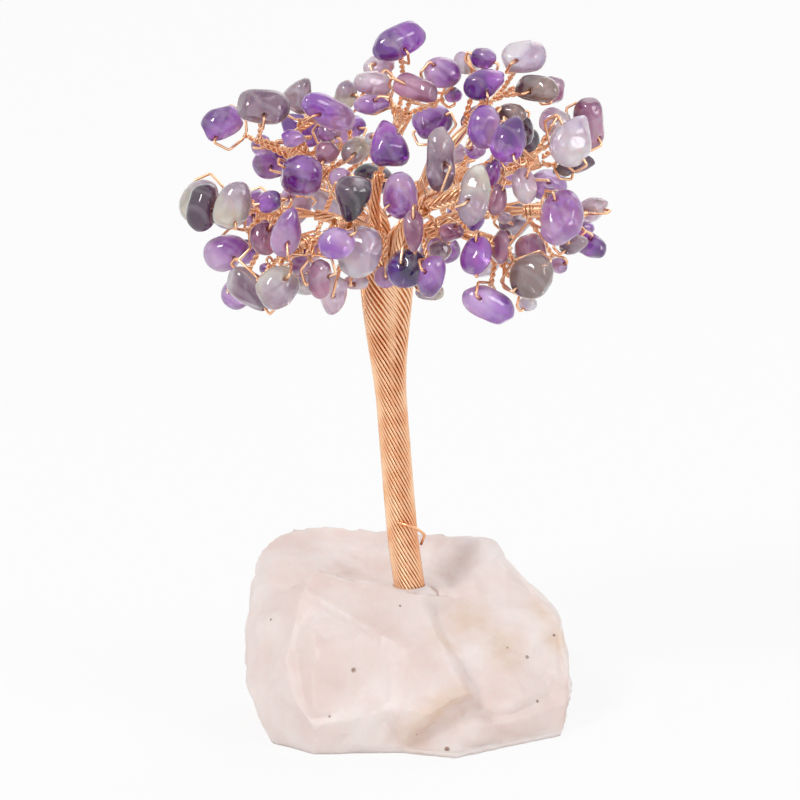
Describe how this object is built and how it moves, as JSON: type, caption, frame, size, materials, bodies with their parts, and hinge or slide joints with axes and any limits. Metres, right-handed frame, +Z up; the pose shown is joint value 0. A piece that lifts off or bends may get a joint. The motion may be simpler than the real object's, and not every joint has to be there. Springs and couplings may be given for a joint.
{
  "type": "gemstone tree ornament",
  "caption": "Leaning twisted copper wire tree with drilled amethyst chips looped on its twigs, planted in a rough pale quartz stone that it stands on.",
  "frame": {"origin": "middle of the stone's flat underside, on the surface that the tree stands on", "axes": "+Z up along the tree, -Y towards the viewer of the picture, +X to the viewer's right"},
  "size_m": [0.0766, 0.0557, 0.1275],
  "materials": {
    "rose_quartz": "rough broken, satin",
    "amethyst": "tumbled, polished",
    "copper_wire": "bright drawn",
    "clear_glue": "clear, glossy"
  },
  "bodies": {
    "root": {"back_left_chips": "amethyst", "back_left_limb_core": "copper_wire", "back_left_limb_strands": "copper_wire", "back_left_twigs": "copper_wire", "back_right_chips": "amethyst", "back_right_limb_core": "copper_wire", "back_right_limb_strands": "copper_wire", "back_right_twigs": "copper_wire", "base_stone": "rose_quartz", "front_chips": "amethyst", "front_left_chips": "amethyst", "front_left_limb_core": "copper_wire", "front_left_limb_strands": "copper_wire", "front_left_twigs": "copper_wire", "front_limb_core": "copper_wire", "front_limb_strands": "copper_wire", "front_twigs": "copper_wire", "glue_bed": "clear_glue", "left_chips": "amethyst", "left_limb_core": "copper_wire", "left_limb_strands": "copper_wire", "left_twigs": "copper_wire", "loose_strand": "copper_wire", "lower_left_chips": "amethyst", "lower_left_limb_core": "copper_wire", "lower_left_limb_strands": "copper_wire", "lower_left_twigs": "copper_wire", "lower_right_chips": "amethyst", "lower_right_limb_core": "copper_wire", "lower_right_limb_strands": "copper_wire", "lower_right_twigs": "copper_wire", "right_chips": "amethyst", "right_limb_core": "copper_wire", "right_limb_strands": "copper_wire", "right_twigs": "copper_wire", "top_chips": "amethyst", "top_limb_core": "copper_wire", "top_limb_strands": "copper_wire", "top_right_chips": "amethyst", "top_right_limb_core": "copper_wire", "top_right_limb_strands": "copper_wire", "top_right_twigs": "copper_wire", "top_twigs": "copper_wire", "trunk_core": "copper_wire", "trunk_strands": "copper_wire", "upper_left_chips": "amethyst", "upper_left_limb_core": "copper_wire", "upper_left_limb_strands": "copper_wire", "upper_left_twigs": "copper_wire", "upper_right_chips": "amethyst", "upper_right_limb_core": "copper_wire", "upper_right_limb_strands": "copper_wire", "upper_right_twigs": "copper_wire"}
  },
  "joints": []
}
